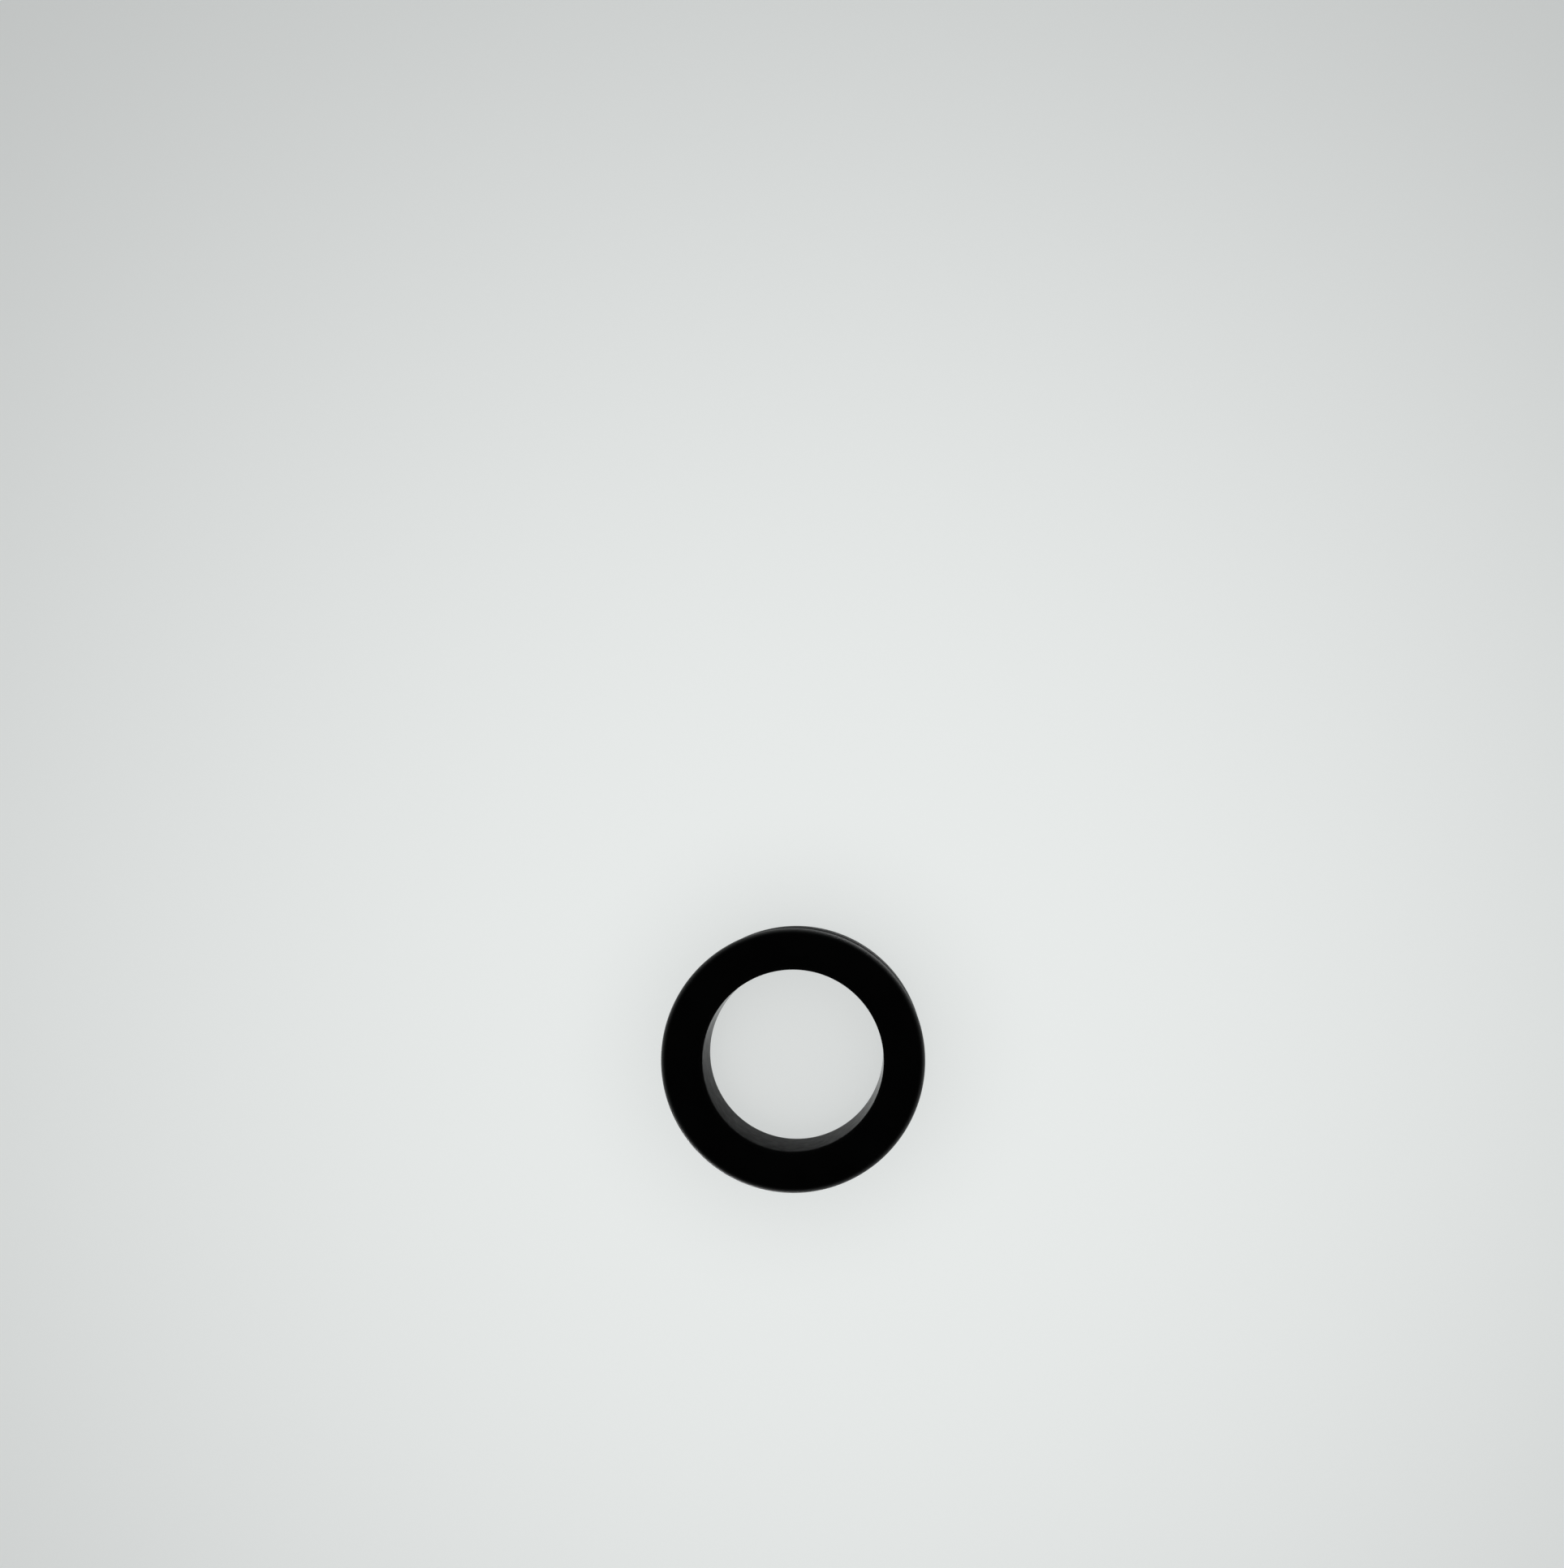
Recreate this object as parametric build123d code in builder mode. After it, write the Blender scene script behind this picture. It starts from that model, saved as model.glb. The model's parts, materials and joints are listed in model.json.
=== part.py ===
from build123d import *

import os
from math import atan2, degrees, sqrt

# A double-flared ear tunnel, moulded in one piece of soft silicone rubber. It is a short open tube
# whose waist sits in a stretched piercing, and the flare at each end keeps it there.
# Sizes are in millimetres. The tunnel stands on its back face, with its bore along Z.

# Driving dimensions
gauge_diameter = 14.0  # waist, the gauge of the stretched piercing that it fills
wall_thickness = 1.4  # silicone between the bore and the waist
flare_lip = 1.15  # how far each flare stands out past the waist, all round
overall_length = 10.0  # from the back face to the front face
rim_radius = 0.4  # round of each flare's outer edge
shoulder_radius = 2.0  # hollow curve that carries the waist out into a flare
mouth_radius = 0.15  # eased edge at each mouth of the bore

# Radii of the turned form
waist_radius = gauge_diameter / 2
bore_radius = waist_radius - wall_thickness
flare_radius = waist_radius + flare_lip
half_length = overall_length / 2

# The rim's round and the shoulder's hollow are arcs that touch in one tangent point. The line
# through their centres sets how far apart the centres lie and how far each arc turns.
rim_centre_radius = flare_radius - rim_radius
shoulder_centre_radius = waist_radius + shoulder_radius
centres_across = shoulder_centre_radius - rim_centre_radius
centres_along = sqrt((rim_radius + shoulder_radius) ** 2 - centres_across**2)
flank_angle = degrees(atan2(centres_along, centres_across))
rim_centre_height = half_length - rim_radius
shoulder_centre_height = rim_centre_height - centres_along

# The wall's section is drawn in a plane through the axis, from its middle up, then mirrored
section_plane = Plane(origin=(0, 0, half_length), x_dir=(1, 0, 0), z_dir=(0, -1, 0))

with BuildPart() as tunnel:
    with BuildSketch(section_plane) as wall_section:
        with BuildLine():
            bore_line = Line((bore_radius, 0), (bore_radius, half_length))
            front_face = Line(bore_line @ 1, (rim_centre_radius, half_length))
            rim = CenterArc(
                (rim_centre_radius, rim_centre_height), rim_radius, 90, -90 - flank_angle
            )
            shoulder = CenterArc(
                (shoulder_centre_radius, shoulder_centre_height),
                shoulder_radius,
                180 - flank_angle,
                flank_angle,
            )
            waist_line = Line(shoulder @ 1, (waist_radius, 0))
            mirror(about=Plane.XZ)
        make_face()
        mouth_corners = wall_section.vertices().filter_by_position(
            Axis.Y, -half_length, half_length
        )
        fillet(mouth_corners.group_by(Axis.X)[0], radius=mouth_radius)
    revolve(axis=Axis.Z)

tunnel.part.label = "tunnel"

os.makedirs("parts", exist_ok=True)
export_step(tunnel.part, "parts/tunnel.step")

print(f"bore {2 * bore_radius:.2f} mm, flares {2 * flare_radius:.2f} mm across")
print(f"straight waist {2 * shoulder_centre_height:.2f} mm long")
print(f"volume {tunnel.part.volume:.1f} mm3")
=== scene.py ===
import json

import bpy
import numpy as np
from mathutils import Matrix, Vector


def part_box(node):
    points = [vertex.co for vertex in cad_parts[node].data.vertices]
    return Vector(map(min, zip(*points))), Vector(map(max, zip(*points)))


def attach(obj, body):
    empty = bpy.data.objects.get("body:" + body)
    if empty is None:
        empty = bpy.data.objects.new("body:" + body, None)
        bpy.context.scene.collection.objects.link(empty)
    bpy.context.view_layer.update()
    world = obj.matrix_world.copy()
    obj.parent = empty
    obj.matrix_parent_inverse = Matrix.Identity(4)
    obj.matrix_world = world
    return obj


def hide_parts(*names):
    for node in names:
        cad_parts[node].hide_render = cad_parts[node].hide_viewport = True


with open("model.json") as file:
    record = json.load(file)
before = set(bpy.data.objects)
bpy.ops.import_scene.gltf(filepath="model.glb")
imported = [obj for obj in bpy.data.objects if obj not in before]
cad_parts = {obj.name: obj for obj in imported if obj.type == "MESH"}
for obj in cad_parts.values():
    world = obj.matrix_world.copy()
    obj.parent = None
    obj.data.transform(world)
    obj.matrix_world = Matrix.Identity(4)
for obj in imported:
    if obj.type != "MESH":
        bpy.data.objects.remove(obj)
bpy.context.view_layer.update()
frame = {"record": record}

# The view. The tunnel lies on its back face and is looked at from almost straight above its
# front face, a little from the upper right, so that the lower left of the bore's wall shows.
# The lens and the aim put the front face where it is in the photograph's frame.
front_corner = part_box("tunnel")[1]
front_height = front_corner.z
front_centre = Vector((0, 0, front_height))
camera_from_axis = Vector((0.0049, 0.0112))
camera_above_front = 0.194
frame_width_px, frame_height_px = 1927, 1932
front_centre_px = (976.8, 1307.0)
focal_px = 3870.0
sensor_mm = 36.0

camera_data = bpy.data.cameras.new("camera")
camera_data.sensor_width = sensor_mm
camera_data.lens = focal_px / max(frame_width_px, frame_height_px) * sensor_mm
camera_data.clip_start = 0.01
camera_data.clip_end = 3.0
camera = bpy.data.objects.new("camera", camera_data)
bpy.context.scene.collection.objects.link(camera)
bpy.context.scene.camera = camera
camera.location = (camera_from_axis.x, camera_from_axis.y, front_height + camera_above_front)
seen_at = Vector((
    front_centre_px[0] - frame_width_px / 2,
    frame_height_px / 2 - front_centre_px[1],
    -focal_px,
))
camera.rotation_mode = "QUATERNION"
camera.rotation_quaternion = seen_at.rotation_difference(front_centre - camera.location)

# The tunnel: one soft moulding of black silicone rubber, a tube with a flare at each end. It is
# cast in a mould whose plates part at the widest line of each flare, and the fine line that they
# leave runs round the rim. The bore's mouths are eased so that no edge is sharp.
bore_radius = next(
    mount["dims"]["r_mm"] for mount in frame["record"]["mounts"] if mount["name"] == "bore"
) / 1000
flare_radius = front_corner.x
waist_radius = 0.0070
rim_radius = 0.0004
shoulder_radius = 0.0020
mouth_radius = 0.00015
parting_line_height = 0.000016
parting_line_width = 0.00005
columns_round = 480
bore_steps, mouth_steps, face_steps = 10, 8, 8
rim_steps, shoulder_steps, waist_steps = 36, 18, 6

silicone_ior = 1.41
silicone_specular = 0.34
deep_black, worn_black = 0.0042, 0.0070
satin_low, satin_high = 0.40, 0.48
bore_matt, bore_gloss = 0.93, 0.21
glancing_from, glancing_to = 0.905, 0.99  # 0 is seen straight on and 1 edge-on
outside_from, outside_to = 0.9, 1.5  # from the bore's wall outward, in radii of its eased edge
waves_per_metre, wave_depth, wave_detail = 420.0, 0.000012, 3.0
grains_per_metre, grain_depth, grain_detail = 5500.0, 0.000009, 4.0
draw_marks_per_metre, draw_mark_stretch, draw_mark_detail = 2000.0, 2.2, 3.0
draw_mark_strength = 0.08
tone_noise_low, tone_noise_high = 0.35, 0.68
gloss_noise_low, gloss_noise_high = 0.3, 0.7


def arc(centre, radius, start, turn, steps):
    """Points on a circle in the section plane: its centre plus the radius times (cos a, sin a),
    where a runs evenly from start through turn, in degrees. The last point is left to what
    follows."""
    angle = np.radians(start + turn * np.arange(steps) / steps)
    return np.column_stack((centre[0] + radius * np.cos(angle), centre[1] + radius * np.sin(angle)))


def run(start, end, steps):
    """Evenly spaced points on a straight line from start, without its end."""
    share = np.arange(steps)[:, None] / steps
    return np.array(start) + share * (np.array(end) - np.array(start))


def wall_section():
    """The closed outline of the wall, as rows of (distance from the axis, height). The upper half
    goes up the bore, round the eased mouth, out over the flat face, round the rim, back along the
    hollow shoulder and down the waist. Rim and shoulder are arcs that touch where the line through
    their centres cuts them. The lower half is the same, mirrored at half the tunnel's length."""
    middle = front_height / 2
    rim_centre = (flare_radius - rim_radius, front_height - rim_radius)
    across = waist_radius + shoulder_radius - rim_centre[0]
    along = np.sqrt((rim_radius + shoulder_radius) ** 2 - across**2)
    shoulder_centre = (waist_radius + shoulder_radius, rim_centre[1] - along)
    flank = np.degrees(np.arctan2(along, across))
    mouth_centre = (bore_radius + mouth_radius, front_height - mouth_radius)
    upper = np.vstack((
        run((bore_radius, middle), (bore_radius, mouth_centre[1]), bore_steps),
        arc(mouth_centre, mouth_radius, 180, -90, mouth_steps),
        run((mouth_centre[0], front_height), (rim_centre[0], front_height), face_steps),
        arc(rim_centre, rim_radius, 90, -90 - flank, rim_steps),
        arc(shoulder_centre, shoulder_radius, 180 - flank, flank, shoulder_steps),
        run((waist_radius, shoulder_centre[1]), (waist_radius, middle), waist_steps),
        [(waist_radius, middle)],
    ))
    lower = upper[::-1][1:-1] * (1, -1) + (0, 2 * middle)
    return np.vstack((upper, lower))


def tunnel_surface():
    """The section carried round the axis. With the turn t and a section row (r, z), a point is
    (r cos t, r sin t, z). On the rim r grows by a bell curve of the height above or below the
    parting plane, which is the fine line left by the mould."""
    section = wall_section()
    radius, height = section[:, 0], section[:, 1]
    rim_plane = np.where(height > front_height / 2, front_height - rim_radius, rim_radius)
    on_rim = radius > flare_radius - rim_radius
    bell = np.exp(-(((height - rim_plane) / parting_line_width) ** 2))
    radius = radius + on_rim * parting_line_height * bell
    turn = 2 * np.pi * np.arange(columns_round) / columns_round
    return np.stack((
        np.outer(np.cos(turn), radius),
        np.outer(np.sin(turn), radius),
        np.broadcast_to(height, (columns_round, len(height))),
    ), axis=-1)


def closed_both_ways(name, points):
    """A mesh of four-sided faces on a grid of points that closes on itself in both directions. The
    face at column i and row j has the corners (i, j), (i, j + 1), (i + 1, j + 1) and (i + 1, j),
    and the first column and row follow the last. In that order the faces point outward."""
    columns, rows = points.shape[:2]
    here = np.arange(columns * rows).reshape(columns, rows)
    onward = np.roll(here, -1, axis=1)
    faces = np.stack((
        here, onward, np.roll(onward, -1, axis=0), np.roll(here, -1, axis=0)
    ), axis=-1).reshape(-1, 4)
    mesh = bpy.data.meshes.new(name)
    mesh.from_pydata(points.reshape(-1, 3), [], faces)
    mesh.polygons.foreach_set("use_smooth", np.ones(len(faces), bool))
    mesh.update()
    made = bpy.data.objects.new(name, mesh)
    bpy.context.scene.collection.objects.link(made)
    return made


def node(tree, kind, sockets=(), **settings):
    """A new shader node, with its settings by name and its sockets by (name, value) pairs."""
    made = tree.nodes.new(kind)
    for name, value in settings.items():
        setattr(made, name, value)
    for name, value in sockets:
        made.inputs[name].default_value = value
    return made


def spread_over(tree, source, low, high, to_low, to_high):
    """The source's values from low to high, spread evenly over to_low to to_high and held at the
    ends."""
    made = node(tree, "ShaderNodeMapRange", [
        ("From Min", low), ("From Max", high), ("To Min", to_low), ("To Max", to_high),
    ])
    tree.links.new(source, made.inputs["Value"])
    return made.outputs["Result"]


def black_silicone():
    """Black silicone in the two finishes of its mould. The outside is satin, and the bore, formed
    by a blasted core pin, is matt, with faint streaks where the pin was drawn. A matt skin turns
    glossy where it is seen at a glancing angle, so the bore's roughness falls over the last few
    degrees. Tone and gloss drift from place to place, soft rubber's skin waves a little, and the
    mould's own grain covers all of it."""
    material = bpy.data.materials.new("black_silicone")
    material.use_nodes = True
    tree = material.node_tree
    link = tree.links.new
    skin = tree.nodes["Principled BSDF"]
    skin.inputs["IOR"].default_value = silicone_ior
    skin.inputs["Specular IOR Level"].default_value = silicone_specular
    place = node(tree, "ShaderNodeTexCoord").outputs["Object"]

    drift = node(
        tree, "ShaderNodeTexNoise", [("Scale", waves_per_metre), ("Detail", wave_detail)]
    )
    link(place, drift.inputs["Vector"])
    tone = spread_over(
        tree, drift.outputs["Fac"], tone_noise_low, tone_noise_high, deep_black, worn_black
    )
    link(tone, skin.inputs["Base Color"])

    flat = node(tree, "ShaderNodeVectorMath", [(1, (1, 1, 0))], operation="MULTIPLY")
    link(place, flat.inputs[0])
    from_axis = node(tree, "ShaderNodeVectorMath", operation="LENGTH")
    link(flat.outputs["Vector"], from_axis.inputs[0])
    outside = spread_over(
        tree, from_axis.outputs["Value"],
        bore_radius + outside_from * mouth_radius, bore_radius + outside_to * mouth_radius, 0, 1,
    )
    facing = node(tree, "ShaderNodeLayerWeight", [("Blend", 0.5)])
    core_pin = spread_over(
        tree, facing.outputs["Facing"], glancing_from, glancing_to, bore_matt, bore_gloss
    )
    along = node(
        tree, "ShaderNodeVectorMath", [(1, (1, 1, 1 / draw_mark_stretch))], operation="MULTIPLY"
    )
    link(place, along.inputs[0])
    draw_marks = node(
        tree, "ShaderNodeTexNoise",
        [("Scale", draw_marks_per_metre), ("Detail", draw_mark_detail)],
    )
    link(along.outputs["Vector"], draw_marks.inputs["Vector"])
    streaks = spread_over(
        tree, draw_marks.outputs["Fac"], gloss_noise_low, gloss_noise_high,
        1 - draw_mark_strength, 1 + draw_mark_strength,
    )
    streaked = node(tree, "ShaderNodeMath", operation="MULTIPLY")
    link(core_pin, streaked.inputs[0])
    link(streaks, streaked.inputs[1])
    satin = spread_over(
        tree, drift.outputs["Fac"], gloss_noise_low, gloss_noise_high, satin_low, satin_high
    )
    finish = node(tree, "ShaderNodeMix")
    link(outside, finish.inputs["Factor"])
    link(streaked.outputs["Value"], finish.inputs["A"])
    link(satin, finish.inputs["B"])
    link(finish.outputs["Result"], skin.inputs["Roughness"])

    waves = node(tree, "ShaderNodeBump", [("Distance", wave_depth)])
    link(drift.outputs["Fac"], waves.inputs["Height"])
    grain = node(
        tree, "ShaderNodeTexNoise", [("Scale", grains_per_metre), ("Detail", grain_detail)]
    )
    link(place, grain.inputs["Vector"])
    relief = node(tree, "ShaderNodeBump", [("Distance", grain_depth)])
    link(grain.outputs["Fac"], relief.inputs["Height"])
    link(waves.outputs["Normal"], relief.inputs["Normal"])
    link(relief.outputs["Normal"], skin.inputs["Normal"])
    return material


tunnel = closed_both_ways("silicone_tunnel", tunnel_surface())
tunnel.data.materials.append(black_silicone())
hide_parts("tunnel")
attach(tunnel, "root")

# The table: a wide round sheet of pale opal acrylic with a faint gloss. Its glow is painted light,
# an emission in the sheet's material and no lamp, a little brighter in a painted pool of light
# about the tunnel. A lamp of its own, overhead, gives the soft shadow at the tunnel's foot.
table_radius = 1.1
table_tint = (0.97, 1.0, 0.99)
painted_pool_centre = (0.003, 0.002, 0.0)
painted_pool_starts_to_fade, painted_pool_ends = 0.01, 0.112
painted_pool_glow, painted_far_glow = 0.573, 0.235
table_albedo, table_roughness = 0.50, 0.9
clear_surface_roughness, clear_surface_ior = 0.2, 1.45
table_lamp_spread, table_lamp_strength = 80.0, 1.38
rings, spokes = 24, 96


def round_sheet(name, radius):
    """A flat disc as rings about one middle face. Ring i of n lies at the radius times (i / n)
    squared, so that the rings are finer towards the middle, and its point at turn t is that
    distance times (cos t, sin t), at height 0."""
    share = (np.arange(1, rings + 1) / rings) ** 2
    turn = 2 * np.pi * np.arange(spokes) / spokes
    ring_points = np.stack((
        np.outer(share, np.cos(turn)) * radius,
        np.outer(share, np.sin(turn)) * radius,
        np.zeros((rings, spokes)),
    ), axis=-1).reshape(-1, 3)
    here = np.arange(rings * spokes).reshape(rings, spokes)
    beside = np.roll(here, -1, axis=1)
    bands = np.stack((here[:-1], here[1:], beside[1:], beside[:-1]), axis=-1).reshape(-1, 4)
    mesh = bpy.data.meshes.new(name)
    mesh.from_pydata(ring_points, [], [*bands.tolist(), here[0].tolist()])
    mesh.update()
    made = bpy.data.objects.new(name, mesh)
    bpy.context.scene.collection.objects.link(made)
    return made


def opal_acrylic_with_painted_glow():
    """Opal acrylic under a smooth clear surface. Its glow is painted light, an emission and no
    lamp, which falls off smoothly with the distance from the middle of a painted pool of light."""
    material = bpy.data.materials.new("opal_acrylic_with_painted_glow")
    material.use_nodes = True
    tree = material.node_tree
    sockets = tree.nodes["Principled BSDF"].inputs
    sockets["Base Color"].default_value = (*[table_albedo * c for c in table_tint], 1)
    sockets["Roughness"].default_value = table_roughness
    sockets["Specular IOR Level"].default_value = 0.0
    sockets["Coat Weight"].default_value = 1.0
    sockets["Coat Roughness"].default_value = clear_surface_roughness
    sockets["Coat IOR"].default_value = clear_surface_ior
    sockets["Emission Color"].default_value = (*table_tint, 1)
    place = node(tree, "ShaderNodeTexCoord")
    from_pool = node(tree, "ShaderNodeVectorMath", [(1, painted_pool_centre)], operation="DISTANCE")
    tree.links.new(place.outputs["Object"], from_pool.inputs[0])
    fall = node(tree, "ShaderNodeMapRange", [
        ("From Min", painted_pool_starts_to_fade), ("From Max", painted_pool_ends),
        ("To Min", painted_pool_glow), ("To Max", painted_far_glow),
    ], interpolation_type="SMOOTHSTEP")
    tree.links.new(from_pool.outputs["Value"], fall.inputs["Value"])
    # The painted light: the sheet's emission, strongest in the painted pool about the tunnel.
    tree.links.new(fall.outputs["Result"], sockets["Emission Strength"])
    return material


def distant_light(name, azimuth, elevation, spread, strength):
    """A round patch of light far away, so that it leaves no pool on the table. Azimuth is turned
    from +X towards +Y and spread is the angle that the patch takes up in the sky, in degrees."""
    data = bpy.data.lights.new(name, "SUN")
    data.angle = np.radians(spread)
    data.energy = strength
    lamp = bpy.data.objects.new(name, data)
    around, up = np.radians(azimuth), np.radians(elevation)
    away = Vector((np.cos(up) * np.cos(around), np.cos(up) * np.sin(around), np.sin(up)))
    lamp.rotation_mode = "QUATERNION"
    lamp.rotation_quaternion = away.to_track_quat("Z", "Y")
    bpy.context.scene.collection.objects.link(lamp)
    return lamp


table = round_sheet("table", table_radius)
table.data.materials.append(opal_acrylic_with_painted_glow())
table_lamp = distant_light("table_lamp", 0, 90, table_lamp_spread, table_lamp_strength)
lit_by_table_lamp = bpy.data.collections.new("lit_by_table_lamp")
lit_by_table_lamp.objects.link(table)
table_lamp.light_linking.receiver_collection = lit_by_table_lamp

# The studio: a pale surround that falls away to dark overhead, which leaves the flat front face
# black. A soft lamp low at the upper right draws the rim's highlight, and two wide ones shine up
# through the table on to the waist and the rims. These three light the rubber alone.
horizon_light, overhead_light = 0.69, 0.01
horizon_ends, overhead_starts = 0.15, 0.37
surround = bpy.data.worlds.new("surround")
surround.use_nodes = True
bpy.context.scene.world = surround
sky = surround.node_tree
direction = node(sky, "ShaderNodeTexCoord")
split = node(sky, "ShaderNodeSeparateXYZ")
sky.links.new(direction.outputs["Generated"], split.inputs["Vector"])
brightness = spread_over(
    sky, split.outputs["Z"], horizon_ends, overhead_starts, horizon_light, overhead_light
)
sky.nodes["Background"].inputs["Color"].default_value = (*table_tint, 1)
sky.links.new(brightness, sky.nodes["Background"].inputs["Strength"])

rubber_only = bpy.data.collections.new("rubber_only")
rubber_only.objects.link(tunnel)
for lamp in (
    distant_light("key", azimuth=58, elevation=8, spread=24, strength=0.05),
    distant_light("key_below", azimuth=58, elevation=-28, spread=46, strength=0.70),
    distant_light("fill_below", azimuth=238, elevation=-40, spread=52, strength=1.0),
):
    lamp.light_linking.receiver_collection = rubber_only
    lamp.light_linking.blocker_collection = rubber_only
    # Their light is traced from the lamps alone, as a mirror ray would stop at the table
    lamp.data.cycles.use_multiple_importance_sampling = False

bpy.context.scene.view_settings.view_transform = "Standard"
